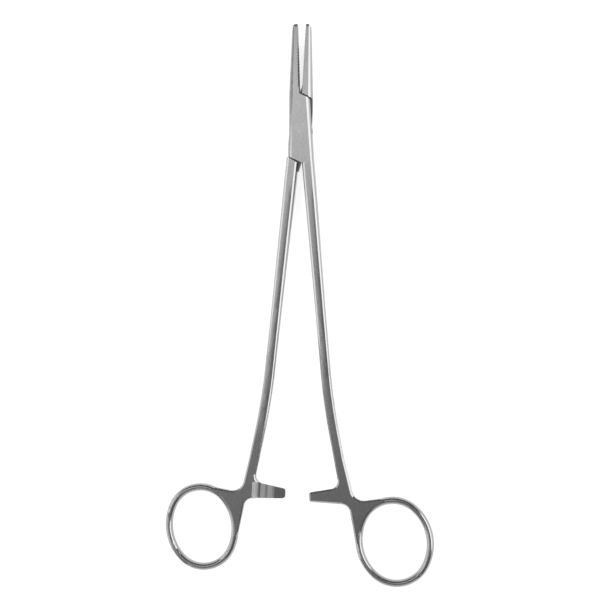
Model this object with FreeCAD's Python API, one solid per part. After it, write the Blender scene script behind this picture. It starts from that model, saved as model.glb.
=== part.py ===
import FreeCAD, Part
import math
import os

from FreeCAD import Vector

# Surgical needle holder with a box lock, lying flat, in millimetres.
# X runs across the instrument, +Y points along it to the jaw tips and +Z is up.
# The hinge axis is the line x = 0, y = 0. The back face of the lock lies in z = 0.
# Both arms are drawn closed, about the middle plane of the lock, then turned open.

# How far each arm stands open at rest, in degrees from the closed position
BOX_ARM_TURN = 1.5
TENON_ARM_TURN = 2.9

# Lock: the box of one arm, through which the tenon of the other arm passes
LOCK_THICKNESS = 5.6
LOCK_WIDTH_MIDDLE = 8.3
LOCK_WIDTH_AT_JAWS = 7.6
LOCK_WIDTH_AT_SHANKS = 9.0
LOCK_REACH = 12.6
SHOULDER_DROP = 26.6
TENON_THICKNESS = 2.3
TENON_NECK_REACH = 16.0
TENON_DISC_RADIUS = 4.1
SLOT_SIDE_CLEARANCE = 0.05
SLOT_EDGE_CLEARANCE = 0.1
SLOT_SWING_CLEARANCE = 0.6
SHOULDER_CLEARANCE = 0.3
FACE_CLEARANCE = 0.02

# Riveted pivot pin, its ends swaged into countersinks and ground flush
PIN_RADIUS = 1.6
PIN_HEAD_RADIUS = 2.1
PIN_HEAD_DEPTH = 0.5
PIN_RUNNING_CLEARANCE = 0.03

# Jaws
JAW_REACH = 38.3
JAW_TIP_WIDTH = 1.95
JAW_TIP_THICKNESS = 3.2
JAW_TIP_CORNER = (1.3, 2.2)
JAW_TIP_ROUNDING = 0.8
JAW_INNER_BEVEL = 0.12
TOOTH_PITCH = 1.15
TOOTH_DEPTH = 0.32
TOOTH_WIDTH_SHARE = 0.8
TOOTH_SLANT = 30.0
TOOTH_START = 15.0

# Two facets ground along each long edge, a shallow one and then a steep one,
# each as its width across and its depth down
TIP_FACETS = ((0.5, 0.25), (0.3, 0.5))
JAW_ROOT_FACETS = ((0.85, 0.42), (0.6, 0.95))
SHANK_FACETS = ((0.6, 0.35), (0.4, 0.8))

# Shanks: straight from the lock, then bending outwards to the rings
SHANK_START = 2.4
SHANK_WIDTH_AT_LOCK = 4.3
SHANK_WIDTH = 3.65
SHANK_TAPER_END = 75.0
SHANK_SPREAD = 3.3
SHANK_SPREAD_AT_RINGS = 9.2
SHANK_BEND_START = 88.0
SHANK_BEND_RADIUS = 240.0
SHANK_CROWN = 0.12
SHANK_CROWN_RUN = 22.0
SHANK_END = 121.0
SHANK_STATIONS = 15

# Flat web that joins shank, ratchet bar and finger ring
WEB_THICKNESS = 3.8
WEB_BEVEL = 0.6
WEB_INNER_FILLET = 3.0
WEB_VALLEY_FILLET = 4.5
WEB_LOWER_FILLET = 3.5
WEB_LOWER_RUN = 2.0
WEB_MERGE_DEPTH = 0.1
WEB_MERGE_ROUNDING = 0.8
BAR_TIP_ROUNDING = 1.0

# Finger rings
RING_BAND_WIDTH = 2.7
RING_BAND_THICKNESS = 3.7
RING_END_ROUNDING = 0.91
BAND_EDGE_ROUNDING = 0.8

# Ratchet bars, which pass each other face to face
RATCHET_GAP = 0.06
RATCHET_TOOTH_PITCH = 2.6
RATCHET_TOOTH_HEIGHT = 0.75
RATCHET_FLANK_RUN = 0.6
RATCHET_TIP_RELIEF = 0.35
RATCHET_ROOT_RUN = 2.3
RATCHET_TEETH = 3

# How far a cutter reaches past the surface it cuts
CUTTER_REACH = 0.2

# What differs between the two handle ends, both given as if on the +X side
BOX_HANDLE = {
    "ring_centre": (30.5, 152.2),
    "ring_hole": (11.65, 13.9),
    "ring_tilt": 9.3,
    "bar_tip": -0.4,
    "bar_top": 133.6,
    "bar_bottom": 137.0,
    "bar_root_top": 132.0,
    "bar_root_bottom": 138.3,
    "first_tooth": 3.0,
    "valley": (16.2, 137.5),
    "lower_merge": 172.0,
    "lower_end": 196.0,
    "upper_merge": 98.0,
    "upper_end": 74.0,
}
TENON_HANDLE = {
    "ring_centre": (29.1, 148.2),
    "ring_hole": (10.85, 13.35),
    "ring_tilt": -11.2,
    "bar_tip": -1.0,
    "bar_top": 132.5,
    "bar_bottom": 136.0,
    "bar_root_top": 130.6,
    "bar_root_bottom": 136.7,
    "first_tooth": 3.0,
    "valley": (15.2, 134.9),
    "lower_merge": 194.0,
    "lower_end": 218.0,
    "upper_merge": 121.0,
    "upper_end": 97.0,
}

LEAST_CROWN = 0.002
HALF_LOCK = LOCK_THICKNESS / 2
HALF_WEB = WEB_THICKNESS / 2
SHOULDER_SLOPE = math.tan(math.radians(SHOULDER_DROP))


def blend(start, end, share):
    """Value a share of the way from start to end, with level ends."""
    share = min(max(share, 0.0), 1.0)
    eased = share * share * (3 - 2 * share)
    return start + (end - start) * eased


def polygon(points):
    """Closed wire through the points."""
    return Part.makePolygon(list(points) + [points[0]])


def prism(points, low, high):
    """Solid between two heights over an outline of (x, y) points."""
    face = Part.Face(polygon([Vector(x, y, low) for x, y in points]))
    return face.extrude(Vector(0, 0, high - low))


def mirrored(shape):
    """The same shape on the other side of the middle plane x = 0."""
    return shape.mirror(Vector(0, 0, 0), Vector(1, 0, 0))


def half_turned(shape):
    """The same shape turned by half a turn about the hinge axis."""
    turned = shape.copy()
    turned.rotate(Vector(0, 0, 0), Vector(0, 0, 1), 180)
    return turned


def facets_between(start, end, share):
    """Sizes of the two facets a share of the way from start to end."""
    return [[a + (b - a) * share for a, b in zip(first, last)] for first, last in zip(start, end)]


# Cross-sections across Y, each with the same facets on front and back
def outer_edge(outer, half, facets):
    """Upper outer corner of a section, from the flat down to the side."""
    shallow, steep = facets
    return [
        (outer - steep[0] - shallow[0], half),
        (outer - steep[0], half - shallow[1]),
        (outer, half - shallow[1] - steep[1]),
    ]


def closed_section(y, upper):
    """Section closed by the mirror image of its upper half."""
    lower = [(x, -z) for x, z in reversed(upper)]
    return polygon([Vector(x, y, z) for x, z in upper + lower])


def jaw_section(y, outer, half, facets):
    """Section of a jaw, facets outside and a small bevel at its face."""
    upper = [(FACE_CLEARANCE, half - JAW_INNER_BEVEL), (FACE_CLEARANCE + JAW_INNER_BEVEL, half)]
    return closed_section(y, upper + outer_edge(outer, half, facets))


def lock_section(y, outer, facets):
    """Section of the whole lock, with facets on both sides."""
    corner = outer_edge(outer, HALF_LOCK, facets)
    return closed_section(y, [(-x, z) for x, z in reversed(corner)] + corner)


def shank_section(y, centre, width, half, crown, facets):
    """Section of a shank, facets on both sides and its faces crowned."""
    right = outer_edge(width / 2, half - crown, facets)
    left = [(-x, z) for x, z in reversed(right)]
    front = [Vector(centre + x, y, z) for x, z in left + right]
    back = [Vector(point.x, y, -point.z) for point in reversed(front)]
    top = Vector(centre, y, half)
    bottom = Vector(centre, y, -half)
    edges = []
    for face, middle, following in ((front, top, back), (back, bottom, front)):
        edges.append(Part.LineSegment(face[0], face[1]).toShape())
        edges.append(Part.LineSegment(face[1], face[2]).toShape())
        edges.append(Part.Arc(face[2], middle, face[3]).toShape())
        edges.append(Part.LineSegment(face[3], face[4]).toShape())
        edges.append(Part.LineSegment(face[4], face[5]).toShape())
        edges.append(Part.LineSegment(face[5], following[0]).toShape())
    return Part.Wire(edges)


def jaw_outer(y):
    """Outer side of a jaw at a height along the instrument."""
    share = (y - LOCK_REACH) / (JAW_REACH - LOCK_REACH)
    return LOCK_WIDTH_AT_JAWS / 2 + (JAW_TIP_WIDTH - LOCK_WIDTH_AT_JAWS / 2) * share


# Jaws
def plain_jaw():
    """Tapered jaw on the +X side, up to its tip, before the teeth."""
    stations = 4
    wires = []
    for i in range(stations):
        share = i / (stations - 1)
        y = LOCK_REACH + (JAW_REACH - LOCK_REACH) * share
        half = HALF_LOCK + (JAW_TIP_THICKNESS / 2 - HALF_LOCK) * share
        facets = facets_between(JAW_ROOT_FACETS, TIP_FACETS, share)
        wires.append(jaw_section(y, jaw_outer(y), half, facets))
    jaw = Part.makeLoft(wires, True, True)
    return jaw.common(tip_rounding())


def tip_rounding():
    """Block whose end rounds off the outer corner and both faces of the tip."""
    across, along = JAW_TIP_CORNER
    side = jaw_outer(JAW_REACH) + CUTTER_REACH / 2
    far = LOCK_WIDTH_AT_JAWS
    base = LOCK_REACH - 1
    centre = Vector(side - across, JAW_REACH - along, 0)
    oval = Part.Ellipse(centre + Vector(0, along, 0), centre + Vector(across, 0, 0), centre)
    corner = Part.ArcOfEllipse(oval, 0, math.pi / 2)
    route = [
        Vector(centre.x, JAW_REACH, 0),
        Vector(-1, JAW_REACH, 0),
        Vector(-1, base, 0),
        Vector(far, base, 0),
        Vector(side, centre.y, 0),
    ]
    edges = [Part.LineSegment(a, b).toShape() for a, b in zip(route, route[1:])]
    face = Part.Face(Part.Wire([corner.toShape()] + edges))
    face.translate(Vector(0, 0, -LOCK_THICKNESS))
    plan = face.extrude(Vector(0, 0, 2 * LOCK_THICKNESS))

    half = JAW_TIP_THICKNESS / 2
    radius = JAW_TIP_ROUNDING
    shift = radius * (1 - math.sqrt(0.5))
    side_edges = []
    for face_side in (1, -1):
        flat = Vector(-1, JAW_REACH - radius, face_side * half)
        middle = Vector(-1, JAW_REACH - shift, face_side * (half - shift))
        end = Vector(-1, JAW_REACH, face_side * (half - radius))
        back = Vector(-1, base, face_side * LOCK_THICKNESS)
        side_edges.append(Part.Arc(flat, middle, end).toShape())
        side_edges.append(Part.LineSegment(back, flat).toShape())
    side_edges.append(Part.LineSegment(end, Vector(-1, JAW_REACH, half - radius)).toShape())
    side_edges.append(Part.LineSegment(back, Vector(-1, base, LOCK_THICKNESS)).toShape())
    outline = Part.Wire(Part.__sortEdges__(side_edges))
    return plan.common(Part.Face(outline).extrude(Vector(far + 1, 0, 0)))


def tooth_grooves(slant, face_side):
    """One family of slanted V grooves across a jaw face."""
    half_mouth = TOOTH_PITCH * TOOTH_WIDTH_SHARE / 2
    half_mouth *= 1 + CUTTER_REACH / TOOTH_DEPTH
    reach = LOCK_THICKNESS
    grooves = []
    count = int((JAW_REACH - TOOTH_START) / TOOTH_PITCH)
    for i in range(-2, count + 3):
        y = TOOTH_START + i * TOOTH_PITCH
        section = polygon([
            Vector(-face_side * CUTTER_REACH, y - half_mouth, -reach),
            Vector(face_side * (FACE_CLEARANCE + TOOTH_DEPTH), y, -reach),
            Vector(-face_side * CUTTER_REACH, y + half_mouth, -reach),
        ])
        run = 2 * reach * math.tan(math.radians(slant))
        section.translate(Vector(0, -run / 2, 0))
        grooves.append(Part.Face(section).extrude(Vector(0, run, 2 * reach)))
    return grooves


def toothed_jaw():
    """Jaw on the +X side with crossed teeth cut in its face."""
    jaw = plain_jaw()
    corner = Vector(-CUTTER_REACH, TOOTH_START, -LOCK_THICKNESS)
    toothed = Part.makeBox(JAW_TIP_WIDTH, JAW_REACH - TOOTH_START, 2 * LOCK_THICKNESS, corner)
    cutters = tooth_grooves(TOOTH_SLANT, 1) + tooth_grooves(-TOOTH_SLANT, 1)
    cutters = [cutter.common(toothed) for cutter in cutters]
    cutters = [cutter for cutter in cutters if cutter.Volume > 0]
    return jaw.cut(cutters)


# Lock
def lock_block():
    """Whole lock before it is parted into box and tenon."""
    middle_facets = facets_between(JAW_ROOT_FACETS, SHANK_FACETS, 0.5)
    wires = [
        lock_section(LOCK_REACH, LOCK_WIDTH_AT_JAWS / 2, JAW_ROOT_FACETS),
        lock_section(0, LOCK_WIDTH_MIDDLE / 2, middle_facets),
        lock_section(-LOCK_REACH, LOCK_WIDTH_AT_SHANKS / 2, SHANK_FACETS),
    ]
    return Part.makeLoft(wires, True, True)


def beyond_shoulder(gap):
    """Region of the tenon arm beyond the front shoulder, on the +X side."""
    far = 2 * LOCK_REACH
    level = LOCK_REACH + gap
    outline = [
        (FACE_CLEARANCE, level),
        (far, level - SHOULDER_SLOPE * far),
        (far, far),
        (FACE_CLEARANCE, far),
    ]
    return prism(outline, -LOCK_THICKNESS, LOCK_THICKNESS)


def neck_tangent(radius, reach):
    """Point where a line from (0, reach) touches the disc on its -X side."""
    angle = math.asin(radius / reach)
    return (-radius * math.cos(angle), radius * math.sin(angle))


def tenon_plate():
    """Flat tenon between the walls: a disc round the pin and its two necks."""
    side = TENON_DISC_RADIUS
    touch = neck_tangent(TENON_DISC_RADIUS, TENON_NECK_REACH)
    root = jaw_outer(TENON_NECK_REACH)
    outline = [
        (0, TENON_NECK_REACH),
        (root - CUTTER_REACH, TENON_NECK_REACH),
        (LOCK_WIDTH_AT_JAWS / 2, LOCK_REACH),
        (side, LOCK_REACH / 2),
        (side, 0),
        (-side, 0),
        touch,
    ]
    half = TENON_THICKNESS / 2
    upper = prism(outline, -half, half)
    disc = Part.makeCylinder(TENON_DISC_RADIUS, TENON_THICKNESS, Vector(0, 0, -half))
    return upper.fuse([half_turned(upper), disc]).removeSplitter()


def tenon_slot():
    """Slot in the box, open on the sides to which the tenon swings."""
    radius = TENON_DISC_RADIUS + SLOT_EDGE_CLEARANCE
    reach = TENON_NECK_REACH + 3 * SLOT_EDGE_CLEARANCE
    touch = neck_tangent(radius, reach)
    far = 2 * LOCK_WIDTH_MIDDLE
    outline = [(0, reach), (far, reach), (far, -touch[1]), (-touch[0], -touch[1])]
    outline += [(-x, -y) for x, y in outline]
    half = TENON_THICKNESS / 2 + SLOT_SIDE_CLEARANCE
    slot = prism(outline, -half, half)
    swing = Part.makeCylinder(TENON_DISC_RADIUS + SLOT_SWING_CLEARANCE, 2 * half, Vector(0, 0, -half))
    return slot.fuse(swing).removeSplitter()


# Pivot pin
def pin_solid(radius):
    """Pin shank and its two swaged ends."""
    shank = Part.makeCylinder(radius, LOCK_THICKNESS, Vector(0, 0, -HALF_LOCK))
    seat = Vector(0, 0, HALF_LOCK - PIN_HEAD_DEPTH)
    top = Part.makeCone(radius, PIN_HEAD_RADIUS, PIN_HEAD_DEPTH, seat)
    bottom = Part.makeCone(PIN_HEAD_RADIUS, radius, PIN_HEAD_DEPTH, Vector(0, 0, -HALF_LOCK))
    return shank.fuse([top, bottom]).removeSplitter()


# Shanks
def shank_centre(y):
    """Middle of the shank on the +X side at a distance below the hinge."""
    lean = math.radians(SHANK_SPREAD)
    final = math.radians(SHANK_SPREAD_AT_RINGS)
    start = SHANK_START + (min(y, SHANK_BEND_START) - LOCK_REACH) * math.tan(lean)
    if y <= SHANK_BEND_START:
        return start
    sine = math.sin(lean) + (y - SHANK_BEND_START) / SHANK_BEND_RADIUS
    if sine < math.sin(final):
        return start + SHANK_BEND_RADIUS * (math.cos(lean) - math.cos(math.asin(sine)))
    bend_end = SHANK_BEND_START + SHANK_BEND_RADIUS * (math.sin(final) - math.sin(lean))
    bend_shift = SHANK_BEND_RADIUS * (math.cos(lean) - math.cos(final))
    return start + bend_shift + (y - bend_end) * math.tan(final)


def shank():
    """Tapered shank on the +X side, from the lock to the web."""
    wires = []
    for i in range(SHANK_STATIONS):
        share = i / (SHANK_STATIONS - 1)
        y = LOCK_REACH + (SHANK_END - LOCK_REACH) * share
        taper = (y - LOCK_REACH) / (SHANK_TAPER_END - LOCK_REACH)
        width = blend(SHANK_WIDTH_AT_LOCK, SHANK_WIDTH, taper)
        half = blend(HALF_LOCK, HALF_WEB, taper)
        crown = blend(LEAST_CROWN, SHANK_CROWN, min(y - LOCK_REACH, SHANK_END - y) / SHANK_CROWN_RUN)
        web_facets = ((WEB_BEVEL / 2, WEB_BEVEL / 2),) * 2
        facets = facets_between(SHANK_FACETS, web_facets, blend(0, 1, share))
        wires.append(shank_section(-y, shank_centre(y), width, half, crown, facets))
    return Part.makeLoft(wires, True, False)


# Handle ends: web, ratchet bar and finger ring
def ring_point(handle, angle, offset):
    """Point on a finger ring, an offset outside the hole's edge."""
    hole_x, hole_y = handle["ring_hole"]
    centre_x, centre_y = handle["ring_centre"]
    tilt = math.radians(handle["ring_tilt"])
    x = (hole_x + offset) * math.cos(math.radians(angle))
    y = (hole_y + offset) * math.sin(math.radians(angle))
    turned_x = x * math.cos(tilt) - y * math.sin(tilt)
    turned_y = x * math.sin(tilt) + y * math.cos(tilt)
    return (centre_x + turned_x, -centre_y + turned_y)


def rounded_face(corners):
    """Flat face over an outline of (x, y, corner radius)."""
    points = [Vector(x, y, 0) for x, y, radius in corners]
    count = len(corners)
    stretches = []
    for i in range(count):
        here = points[i]
        before = (points[i - 1] - here).normalize()
        after = (points[(i + 1) % count] - here).normalize()
        half_angle = before.getAngle(after) / 2
        radius = corners[i][2]
        cut = radius / math.tan(half_angle) if radius else 0.0
        first = here + before * cut
        last = here + after * cut
        middle = here
        if radius:
            inward = (before + after).normalize()
            middle = here + inward * (radius / math.sin(half_angle) - radius)
        stretches.append((first, middle, last, radius))
    edges = []
    for i in range(count):
        first, middle, last, radius = stretches[i]
        if radius:
            edges.append(Part.Arc(first, middle, last).toShape())
        following = stretches[(i + 1) % count][0]
        edges.append(Part.LineSegment(last, following).toShape())
    return Part.Face(Part.Wire(edges))


def web_and_bar(handle):
    """Web with its ratchet bar at full thickness, edges bevelled."""
    inner = shank_centre(SHANK_END) - SHANK_WIDTH / 2
    outer = shank_centre(SHANK_END) + SHANK_WIDTH / 2
    lean = math.tan(math.radians(SHANK_SPREAD_AT_RINGS))
    root_top = handle["bar_root_top"]
    root_bottom = handle["bar_root_bottom"]
    inner_corner = inner + (root_top - SHANK_END) * lean
    merge = RING_BAND_WIDTH - WEB_MERGE_DEPTH
    mid_band = RING_BAND_WIDTH / 2
    lower_merge = ring_point(handle, handle["lower_merge"], merge)
    lower_end = ring_point(handle, handle["lower_end"], mid_band)
    upper_merge = ring_point(handle, handle["upper_merge"], merge)
    upper_end = ring_point(handle, handle["upper_end"], mid_band)
    merge_middle = (handle["lower_merge"] + handle["upper_merge"]) / 2
    inside = ring_point(handle, merge_middle, -RING_BAND_WIDTH)
    ring_side = handle["ring_centre"][0] - handle["ring_hole"][0] - RING_BAND_WIDTH
    lower_corner = ring_side - WEB_LOWER_RUN
    corners = [
        (inner, -SHANK_END, 0),
        (inner_corner, -root_top, WEB_INNER_FILLET),
        (handle["bar_tip"], -handle["bar_top"], BAR_TIP_ROUNDING),
        (handle["bar_tip"], -handle["bar_bottom"], BAR_TIP_ROUNDING),
        (lower_corner, -root_bottom, WEB_LOWER_FILLET),
        (lower_merge[0], lower_merge[1], WEB_MERGE_ROUNDING),
        (lower_end[0], lower_end[1], 0),
        (inside[0], inside[1], 0),
        (upper_end[0], upper_end[1], 0),
        (upper_merge[0], upper_merge[1], WEB_MERGE_ROUNDING),
        (handle["valley"][0], -handle["valley"][1], WEB_VALLEY_FILLET),
        (outer, -SHANK_END, 0),
    ]
    plate = rounded_face(corners).extrude(Vector(0, 0, WEB_THICKNESS))
    plate.translate(Vector(0, 0, -HALF_WEB))
    rims = []
    for edge in plate.Edges:
        box = edge.BoundBox
        level = box.ZLength < 0.01
        at_shank = box.YMin > -SHANK_END - 0.01
        if level and not at_shank:
            rims.append(edge)
    return plate.makeChamfer(WEB_BEVEL, rims)


def ratchet_cutter(handle):
    """Cutter that thins the bar to half and leaves its saw teeth."""
    crest = RATCHET_GAP / 2
    valley = crest + RATCHET_TOOTH_HEIGHT
    tip = handle["bar_tip"] - CUTTER_REACH
    profile = [(tip, -WEB_THICKNESS), (tip, crest + RATCHET_TIP_RELIEF)]
    for i in range(RATCHET_TEETH):
        x = handle["first_tooth"] + i * RATCHET_TOOTH_PITCH
        profile.append((x, crest))
        profile.append((x + RATCHET_FLANK_RUN, valley))
    root = profile[-1][0] + RATCHET_ROOT_RUN
    profile.append((root, -HALF_WEB))
    profile.append((root + CUTTER_REACH, -WEB_THICKNESS))
    low = -handle["bar_root_bottom"] - WEB_LOWER_FILLET
    high = -handle["bar_root_top"] + CUTTER_REACH
    face = Part.Face(polygon([Vector(x, low, z) for x, z in profile]))
    return face.extrude(Vector(0, high - low, 0))


def oval_arcs(short, long, rounding):
    """Four tangent arcs that bound an oval, as (centre, radius, start, end)."""
    end_radius = short * rounding
    side_radius = (short ** 2 + long ** 2 - 2 * long * end_radius) / (2 * (short - end_radius))
    side_shift = side_radius - short
    end_shift = long - end_radius
    spread = math.degrees(math.atan2(side_shift, end_shift))
    return [
        (Vector(0, end_shift, 0), end_radius, 90 - spread, 90 + spread),
        (Vector(side_shift, 0, 0), side_radius, 90 + spread, 270 - spread),
        (Vector(0, -end_shift, 0), end_radius, 270 - spread, 270 + spread),
        (Vector(-side_shift, 0, 0), side_radius, 270 + spread, 450 - spread),
    ]


def oval_wire(arcs):
    """Closed wire of the tangent arcs of an oval."""
    edges = []
    for centre, radius, start, end in arcs:
        points = []
        for angle in (start, (start + end) / 2, end):
            turn = math.radians(angle)
            points.append(centre + Vector(radius * math.cos(turn), radius * math.sin(turn), 0))
        edges.append(Part.Arc(*points).toShape())
    return Part.Wire(edges)


def band_section():
    """Oval section of the ring band, standing upright round the origin."""
    oval = oval_arcs(RING_BAND_WIDTH / 2, RING_BAND_THICKNESS / 2, BAND_EDGE_ROUNDING)
    section = Part.Face(oval_wire(oval))
    section.rotate(Vector(0, 0, 0), Vector(1, 0, 0), 90)
    return section


def finger_ring(handle):
    """Oval ring of an oval section round the origin, of four tangent arcs."""
    hole_x, hole_y = handle["ring_hole"]
    mid_band = RING_BAND_WIDTH / 2
    stretches = []
    arcs = oval_arcs(hole_x + mid_band, hole_y + mid_band, RING_END_ROUNDING)
    for centre, radius, start, end in arcs:
        section = band_section()
        section.translate(centre + Vector(radius, 0, 0))
        section.rotate(centre, Vector(0, 0, 1), start)
        stretches.append(section.revolve(centre, Vector(0, 0, 1), end - start))
    return stretches[0].fuse(stretches[1:])


def set_on_ring(shape, handle):
    """Shape turned and moved from the origin to a finger ring's place."""
    shape.rotate(Vector(0, 0, 0), Vector(0, 0, 1), handle["ring_tilt"])
    shape.translate(Vector(handle["ring_centre"][0], -handle["ring_centre"][1], 0))
    return shape


def ring_inside(handle):
    """Everything within the middle line of the finger ring's band."""
    hole_x, hole_y = handle["ring_hole"]
    mid_band = RING_BAND_WIDTH / 2
    arcs = oval_arcs(hole_x + mid_band, hole_y + mid_band, RING_END_ROUNDING)
    oval = Part.Face(oval_wire(arcs))
    oval.translate(Vector(0, 0, -WEB_THICKNESS))
    return set_on_ring(oval.extrude(Vector(0, 0, 2 * WEB_THICKNESS)), handle)


def handle_end(handle):
    """Finger ring, web and ratchet bar in one, on the +X side."""
    bar = web_and_bar(handle).cut([ratchet_cutter(handle), ring_inside(handle)])
    return bar.fuse(set_on_ring(finger_ring(handle), handle))


# Arms
def box_arm(jaw, limb):
    """Arm with the box: -X jaw, both lock walls, +X shank and ring."""
    lock = lock_block()
    lock = lock.cut([beyond_shoulder(0), half_turned(beyond_shoulder(0))])
    arm = lock.fuse([mirrored(jaw), limb, handle_end(BOX_HANDLE)])
    return arm.cut([tenon_slot(), pin_solid(PIN_RADIUS)])


def tenon_arm(jaw, limb):
    """Arm with the tenon: +X jaw, -X shank and ring."""
    front = beyond_shoulder(SHOULDER_CLEARANCE)
    lock = lock_block()
    jaw_root = lock.common(front)
    shank_root = lock.common(half_turned(front))
    bore_radius = PIN_RADIUS + PIN_RUNNING_CLEARANCE
    bore = Part.makeCylinder(bore_radius, LOCK_THICKNESS, Vector(0, 0, -HALF_LOCK))
    handle = handle_end(TENON_HANDLE)
    handle.rotate(Vector(0, 0, 0), Vector(0, 1, 0), 180)
    arm = jaw_root.fuse([shank_root, jaw, mirrored(limb), handle, tenon_plate()])
    return arm.cut(bore)


def place(shape, turn):
    """Turn a closed piece open and set the lock's back face in z = 0."""
    placed = shape.copy()
    placed.rotate(Vector(0, 0, 0), Vector(0, 0, 1), turn)
    placed.translate(Vector(0, 0, HALF_LOCK))
    return placed


jaw = toothed_jaw()
limb = shank()
pieces = {
    "box_arm": place(box_arm(jaw, limb), BOX_ARM_TURN),
    "tenon_arm": place(tenon_arm(jaw, limb), -TENON_ARM_TURN),
    "pivot_pin": place(pin_solid(PIN_RADIUS), BOX_ARM_TURN),
}

os.makedirs("parts", exist_ok=True)
for name, shape in pieces.items():
    shape.exportStep("parts/" + name + ".step")
    print(name, "solids", len(shape.Solids), "valid", shape.isValid(), "volume", round(shape.Volume, 2))
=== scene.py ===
import math

import bpy
from mathutils import Matrix, Vector


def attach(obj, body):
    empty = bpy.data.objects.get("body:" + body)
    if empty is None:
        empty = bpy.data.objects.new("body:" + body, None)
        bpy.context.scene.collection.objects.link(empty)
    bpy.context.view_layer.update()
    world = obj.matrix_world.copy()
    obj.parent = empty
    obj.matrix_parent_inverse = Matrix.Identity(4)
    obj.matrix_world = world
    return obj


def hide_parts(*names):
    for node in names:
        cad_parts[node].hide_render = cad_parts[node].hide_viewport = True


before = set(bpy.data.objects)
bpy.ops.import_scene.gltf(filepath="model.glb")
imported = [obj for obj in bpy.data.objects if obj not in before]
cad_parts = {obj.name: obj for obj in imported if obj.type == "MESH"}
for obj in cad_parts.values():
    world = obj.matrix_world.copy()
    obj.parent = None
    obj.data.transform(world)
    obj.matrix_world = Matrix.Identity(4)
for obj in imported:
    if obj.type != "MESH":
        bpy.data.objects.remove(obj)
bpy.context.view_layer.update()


# Box arm: one drop-forged half of the needle holder, in stainless steel. Its jaw,
# both walls of the lock, its shank, ratchet bar and finger ring are one piece.
# The broad faces are satin finished and the ground facets are polished.
BOX_ARM_TURN = math.radians(1.5)
HINGE_HEIGHT = 0.0028

STEEL_COLOUR = (0.58, 0.58, 0.585)
CLOUD_SCALE = 55.0
CLOUD_DETAIL = 2.0
CLOUD_TONES = (0.985, 1.015)
GRAIN_SCALE = (5200.0, 420.0, 5200.0)
GRAIN_DETAIL = 3.0
GRAIN_RANGE = (0.3, 0.7)
GRAIN_HEIGHT = 0.000012

SATIN_ROUGHNESS = (0.265, 0.295)
SATIN_GRAIN = 0.025
POLISHED_ROUGHNESS = (0.13, 0.19)
POLISHED_GRAIN = 0.03
MILLED_TONE = 1.08
MILLED_ROUGHNESS = (0.34, 0.46)
MILLED_GRAIN = 0.3
# Recess steel is painted shade: a near black copy of the steel for the shoulder gaps and the
# box slot in the lock.
RECESS_SHADE_TONE = 0.12
RECESS_ROUGHNESS = (0.5, 0.6)
# Shaded steel is painted shade: a dark copy of the milled steel for the jaw teeth near the
# lock and the tenon plate in the slot.
SHADED_TONE = 0.33


def brushed_steel(name, tone, roughness, grain_strength):
    """Steel with a fine lengthwise grain and a slightly cloudy tone."""
    material = bpy.data.materials.new(name)
    material.use_nodes = True
    nodes = material.node_tree.nodes
    links = material.node_tree.links
    shader = nodes["Principled BSDF"]
    shader.inputs["Metallic"].default_value = 1.0
    place = nodes.new("ShaderNodeTexCoord")

    stretch = nodes.new("ShaderNodeMapping")
    stretch.inputs["Scale"].default_value = GRAIN_SCALE
    links.new(place.outputs["Object"], stretch.inputs["Vector"])
    grain = nodes.new("ShaderNodeTexNoise")
    grain.inputs["Scale"].default_value = 1.0
    grain.inputs["Detail"].default_value = GRAIN_DETAIL
    links.new(stretch.outputs["Vector"], grain.inputs["Vector"])

    cloud = nodes.new("ShaderNodeTexNoise")
    cloud.inputs["Scale"].default_value = CLOUD_SCALE
    cloud.inputs["Detail"].default_value = CLOUD_DETAIL
    links.new(place.outputs["Object"], cloud.inputs["Vector"])
    colour = nodes.new("ShaderNodeMix")
    colour.data_type = "RGBA"
    for socket, cloud_tone in zip("AB", CLOUD_TONES):
        shade = [value * tone * cloud_tone for value in STEEL_COLOUR]
        colour.inputs[socket].default_value = shade + [1.0]
    links.new(cloud.outputs["Fac"], colour.inputs["Factor"])
    links.new(colour.outputs["Result"], shader.inputs["Base Color"])

    sheen = nodes.new("ShaderNodeMapRange")
    sheen.inputs["From Min"].default_value = GRAIN_RANGE[0]
    sheen.inputs["From Max"].default_value = GRAIN_RANGE[1]
    sheen.inputs["To Min"].default_value = roughness[0]
    sheen.inputs["To Max"].default_value = roughness[1]
    links.new(grain.outputs["Fac"], sheen.inputs["Value"])
    links.new(sheen.outputs["Result"], shader.inputs["Roughness"])

    scratches = nodes.new("ShaderNodeBump")
    scratches.inputs["Strength"].default_value = grain_strength
    scratches.inputs["Distance"].default_value = GRAIN_HEIGHT
    links.new(grain.outputs["Fac"], scratches.inputs["Height"])
    links.new(scratches.outputs["Normal"], shader.inputs["Normal"])
    return material


satin_steel = brushed_steel("satin_steel", 1.0, SATIN_ROUGHNESS, SATIN_GRAIN)
polished_steel = brushed_steel("polished_steel", 1.0, POLISHED_ROUGHNESS, POLISHED_GRAIN)
milled_steel = brushed_steel("milled_steel", MILLED_TONE, MILLED_ROUGHNESS, MILLED_GRAIN)
recess_shade_steel = brushed_steel("recess_shade_steel", RECESS_SHADE_TONE, RECESS_ROUGHNESS, MILLED_GRAIN)
shaded_steel = brushed_steel("shaded_steel", SHADED_TONE, MILLED_ROUGHNESS, MILLED_GRAIN)
arm_finishes_and_shades = (satin_steel, polished_steel, milled_steel, recess_shade_steel, shaded_steel)
SATIN, POLISHED, MILLED, RECESS_SHADE, SHADED = range(len(arm_finishes_and_shades))

SEAM_WIDTH = 0.000002
FLAT_WITHIN = math.radians(0.4)


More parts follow.
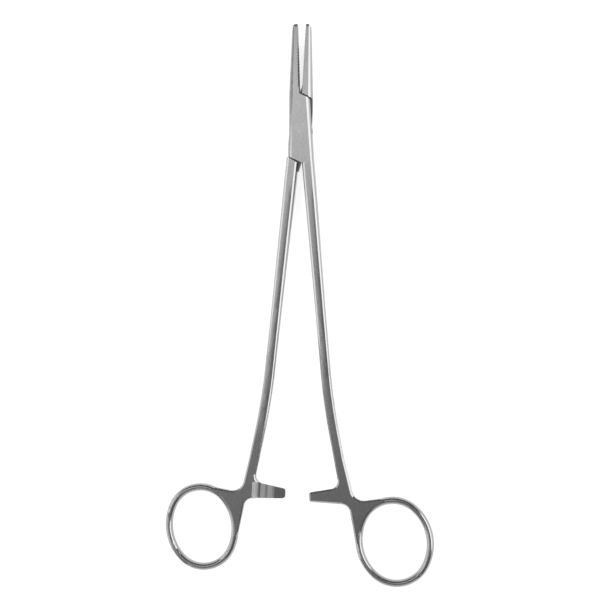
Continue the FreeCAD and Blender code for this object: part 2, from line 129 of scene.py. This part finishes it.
def merged_copy(node_name, name):
    """Copy of a CAD piece with its skin closed and its flats in whole faces."""
    bpy.ops.object.select_all(action="DESELECT")
    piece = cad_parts[node_name].copy()
    piece.data = piece.data.copy()
    piece.name = name
    piece.parent = None
    bpy.context.collection.objects.link(piece)
    piece.select_set(True)
    bpy.context.view_layer.objects.active = piece
    bpy.ops.object.mode_set(mode="EDIT")
    bpy.ops.mesh.select_all(action="SELECT")
    bpy.ops.mesh.remove_doubles(threshold=SEAM_WIDTH)
    bpy.ops.mesh.dissolve_limited(angle_limit=FLAT_WITHIN)
    bpy.ops.object.mode_set(mode="OBJECT")
    return piece


EASED_EDGE = 0.00007
EASED_EDGE_SEGMENTS = 2
EASED_FROM = math.radians(19)
ARM_SMOOTH_WITHIN = math.radians(40)
LARGE_FACE_WEIGHT = 80


def ease_edges(piece):
    """Every sharp edge broken by a narrow round, as polishing leaves it."""
    bevel = piece.modifiers.new("eased_edges", "BEVEL")
    bevel.width = EASED_EDGE
    bevel.segments = EASED_EDGE_SEGMENTS
    bevel.limit_method = "ANGLE"
    bevel.angle_limit = EASED_FROM
    bpy.ops.object.modifier_apply(modifier=bevel.name)
    bpy.ops.object.shade_smooth_by_angle(angle=ARM_SMOOTH_WITHIN)
    weighting = piece.modifiers.new("flat_faces", "WEIGHTED_NORMAL")
    weighting.keep_sharp = True
    weighting.weight = LARGE_FACE_WEIGHT
    bpy.ops.object.modifier_apply(modifier=weighting.name)


# Where finishes and painted shade lie on a closed arm, how squarely a face must point
TEETH_START = 0.0148
TEETH_DEPTH = 0.00036
# Jaw teeth nearer the lock than this get painted shade, the rest plain milled steel.
TEETH_SHADE_ENDS = 0.0300
RATCHET_TOP = -0.1285
RATCHET_BOTTOM = -0.1395
RATCHET_REACH = 0.0118
SLOT_HALF_HEIGHT = 0.0013
LOCK_INSIDE_REACH = 0.0126
SHOULDER_SLOPE = math.radians(26.6)
FACING_COSINE = 0.95
LEANING_COSINE = 0.15


def finish_and_shade_faces(piece, turn, slot_shade):
    """Satin broad faces, polished facets, milled teeth, painted shade in the recesses and on
    the teeth near the lock.
    """
    piece.data.materials.clear()
    for finish in arm_finishes_and_shades:
        piece.data.materials.append(finish)
    closed = Matrix.Rotation(-turn, 3, "Z")
    shoulder = Vector((math.sin(SHOULDER_SLOPE), math.cos(SHOULDER_SLOPE), 0.0))
    for face in piece.data.polygons:
        centre = closed @ face.center
        normal = closed @ face.normal
        level = abs(normal.z) > FACING_COSINE
        on_shoulder = abs(normal.dot(shoulder)) > FACING_COSINE
        sideways = abs(normal.x) > LEANING_COSINE and abs(normal.y) < LEANING_COSINE
        sloped = sideways and abs(normal.z) > LEANING_COSINE
        in_lock = abs(centre.y) < LOCK_INSIDE_REACH
        in_slot = abs(centre.z - HINGE_HEIGHT) < SLOT_HALF_HEIGHT
        in_jaw_teeth = centre.y > TEETH_START and abs(centre.x) < TEETH_DEPTH
        beside_ratchet = RATCHET_BOTTOM < centre.y < RATCHET_TOP
        in_ratchet = beside_ratchet and abs(centre.x) < RATCHET_REACH
        face.material_index = SATIN if level else POLISHED
        if in_ratchet and sloped:
            face.material_index = MILLED
        # Teeth near the lock get painted shade; farther out they are plain milled steel.
        if in_jaw_teeth and not level:
            past_teeth_shade = centre.y > TEETH_SHADE_ENDS
            face.material_index = MILLED if past_teeth_shade else SHADED
        # The shoulder gaps in the lock get near black painted shade.
        if in_lock and on_shoulder:
            face.material_index = RECESS_SHADE
        # The level faces in the slot get the painted shade that is passed in.
        if in_lock and level and in_slot:
            face.material_index = slot_shade


box_arm = merged_copy("box_arm", "box_arm_forging")
ease_edges(box_arm)
# The box's level faces inside the slot get the near black painted shade of the recess steel.
finish_and_shade_faces(box_arm, BOX_ARM_TURN, RECESS_SHADE)
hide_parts("box_arm")
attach(box_arm, "box_half")


# Tenon arm: the other drop-forged half, with the other jaw, the flat tenon that
# passes through the box, and its own shank, ratchet bar and finger ring.
TENON_ARM_TURN = math.radians(-2.9)

tenon_arm = merged_copy("tenon_arm", "tenon_arm_forging")
ease_edges(tenon_arm)
# The tenon plate's level faces inside the slot get the dark painted shade of the shaded steel.
finish_and_shade_faces(tenon_arm, TENON_ARM_TURN, SHADED)
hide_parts("tenon_arm")
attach(tenon_arm, "tenon_half")


# Pivot pin: a turned steel pin through both walls of the box and the tenon. Its
# ends are swaged into countersinks, then ground down with the faces of the lock.
PIN_TONE = 1.04
PIN_SMOOTH_WITHIN = math.radians(30)
TURNED_RING_SCALE = 900.0
TURNED_RING_STRENGTH = 0.15
TURNED_RING_HEIGHT = 0.000004

pin_steel = brushed_steel("pin_steel", PIN_TONE, SATIN_ROUGHNESS, 0.0)
pin_nodes = pin_steel.node_tree.nodes
pin_links = pin_steel.node_tree.links
pin_place = pin_nodes.new("ShaderNodeTexCoord")
turned_rings = pin_nodes.new("ShaderNodeTexWave")
turned_rings.wave_type = "RINGS"
turned_rings.rings_direction = "Z"
turned_rings.inputs["Scale"].default_value = TURNED_RING_SCALE
pin_links.new(pin_place.outputs["Object"], turned_rings.inputs["Vector"])
ring_marks = pin_nodes.new("ShaderNodeBump")
ring_marks.inputs["Strength"].default_value = TURNED_RING_STRENGTH
ring_marks.inputs["Distance"].default_value = TURNED_RING_HEIGHT
pin_links.new(turned_rings.outputs["Fac"], ring_marks.inputs["Height"])
pin_links.new(ring_marks.outputs["Normal"], pin_nodes["Principled BSDF"].inputs["Normal"])

pivot_pin = merged_copy("pivot_pin", "pivot_pin_rivet")
bpy.ops.object.shade_smooth_by_angle(angle=PIN_SMOOTH_WITHIN)
pivot_pin.data.materials.clear()
pivot_pin.data.materials.append(pin_steel)
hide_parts("pivot_pin")
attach(pivot_pin, "box_half")


# Floor: a sheet of white paper that the needle holder lies on. It keeps the soft
# shadow, and a little added light for camera and gloss rays brings it to white.
PAPER_SIZE = 4.0
PAPER_COLOUR = (0.9, 0.9, 0.9, 1.0)
PAPER_ROUGHNESS = 0.9
PAPER_SPECULAR = 0.1
PAPER_CAMERA_LIFT = 0.78
PAPER_GLOSS_LIFT = 0.45

bpy.ops.mesh.primitive_plane_add(size=PAPER_SIZE, location=(0, 0, 0))
floor = bpy.context.object
floor.name = "paper_floor"
paper = bpy.data.materials.new("white_paper")
paper.use_nodes = True
paper_nodes = paper.node_tree.nodes
paper_links = paper.node_tree.links
paper_shader = paper_nodes["Principled BSDF"]
paper_shader.inputs["Base Color"].default_value = PAPER_COLOUR
paper_shader.inputs["Roughness"].default_value = PAPER_ROUGHNESS
paper_shader.inputs["Specular IOR Level"].default_value = PAPER_SPECULAR
paper_shader.inputs["Emission Color"].default_value = (1.0, 1.0, 1.0, 1.0)
seen_by = paper_nodes.new("ShaderNodeLightPath")
gloss_lift = paper_nodes.new("ShaderNodeMath")
gloss_lift.operation = "MULTIPLY"
gloss_lift.inputs[1].default_value = PAPER_GLOSS_LIFT
paper_links.new(seen_by.outputs["Is Glossy Ray"], gloss_lift.inputs[0])
lift = paper_nodes.new("ShaderNodeMath")
lift.operation = "MULTIPLY_ADD"
lift.inputs[1].default_value = PAPER_CAMERA_LIFT
paper_links.new(seen_by.outputs["Is Camera Ray"], lift.inputs[0])
paper_links.new(gloss_lift.outputs["Value"], lift.inputs[2])
paper_links.new(lift.outputs["Value"], paper_shader.inputs["Emission Strength"])
floor.data.materials.append(paper)


# Light: two dim cards overhead shade the broad faces from light at the lock to
# dark at the rings, and a lower one stands beyond the rings. A softbox on each side
# draws the bright lines along the facets. Only the camera sees the world as white.
WORLD_GREY = 0.12
SKY_WHITE = 1.0

world = bpy.data.worlds.new("studio")
bpy.context.scene.world = world
world.use_nodes = True
world_nodes = world.node_tree.nodes
world_links = world.node_tree.links
world_nodes["Background"].inputs["Color"].default_value = (1.0, 1.0, 1.0, 1.0)
world_seen_by = world_nodes.new("ShaderNodeLightPath")
world_strength = world_nodes.new("ShaderNodeMapRange")
world_strength.inputs["To Min"].default_value = WORLD_GREY
world_strength.inputs["To Max"].default_value = SKY_WHITE
world_links.new(world_seen_by.outputs["Is Camera Ray"], world_strength.inputs["Value"])
world_links.new(world_strength.outputs["Result"], world_nodes["Background"].inputs["Strength"])


def softbox(name, place, aim, across, along, radiance):
    """Rectangular lamp of an even brightness, turned to face a point."""
    lamp = bpy.data.lights.new(name, "AREA")
    lamp.shape = "RECTANGLE"
    lamp.size = across
    lamp.size_y = along
    lamp.energy = math.pi * across * along * radiance
    holder = bpy.data.objects.new(name, lamp)
    holder.location = place
    towards = Vector(aim) - Vector(place)
    holder.rotation_euler = towards.to_track_quat("-Z", "Y").to_euler()
    bpy.context.collection.objects.link(holder)


softbox(
    "ceiling_card", place=(-0.6, 0.17, 1.2), aim=(-0.6, 0.17, 0.0),
    across=1.2, along=0.36, radiance=1.15,
)
softbox(
    "left_card", place=(-0.75, -0.4, 1.2), aim=(-0.75, -0.4, 0.0),
    across=0.6, along=0.8, radiance=0.7,
)
softbox(
    "front_card", place=(0.0, -1.3, 0.6), aim=(0.0, -0.1, 0.0),
    across=1.6, along=0.5, radiance=0.6,
)
softbox(
    "right_softbox", place=(0.85, 0.05, 0.61), aim=(0.0, 0.05, 0.61),
    across=0.8, along=1.14, radiance=1.45,
)
softbox(
    "left_softbox", place=(-0.9, 0.0, 0.27), aim=(0.0, 0.0, 0.27),
    across=1.2, along=0.46, radiance=1.15,
)


# Camera: nearly straight above the needle holder and far off, a little to the
# right of it, so that one jaw's teeth just show.
METRES_PER_PIXEL = 0.000367
IMAGE_SIZE = 600
PIVOT_PIXEL = (300.8, 128.3)
CAMERA_DISTANCE = 0.8
CAMERA_LEAN = math.radians(6.0)
SENSOR_WIDTH = 36.0
NEAREST_SEEN = 0.01

camera_data = bpy.data.cameras.new("camera")
camera = bpy.data.objects.new("camera", camera_data)
bpy.context.collection.objects.link(camera)
image_middle = Vector((
    (IMAGE_SIZE / 2 - PIVOT_PIXEL[0]) * METRES_PER_PIXEL,
    (PIVOT_PIXEL[1] - IMAGE_SIZE / 2) * METRES_PER_PIXEL,
    HINGE_HEIGHT,
))
lean_direction = Vector((math.sin(CAMERA_LEAN), 0.0, math.cos(CAMERA_LEAN)))
camera.location = image_middle + lean_direction * CAMERA_DISTANCE
camera.rotation_euler = (0.0, CAMERA_LEAN, 0.0)
camera_data.sensor_width = SENSOR_WIDTH
camera_data.lens = SENSOR_WIDTH * CAMERA_DISTANCE / (IMAGE_SIZE * METRES_PER_PIXEL)
camera_data.clip_start = NEAREST_SEEN
bpy.context.scene.camera = camera

bpy.context.scene.view_settings.view_transform = "Standard"
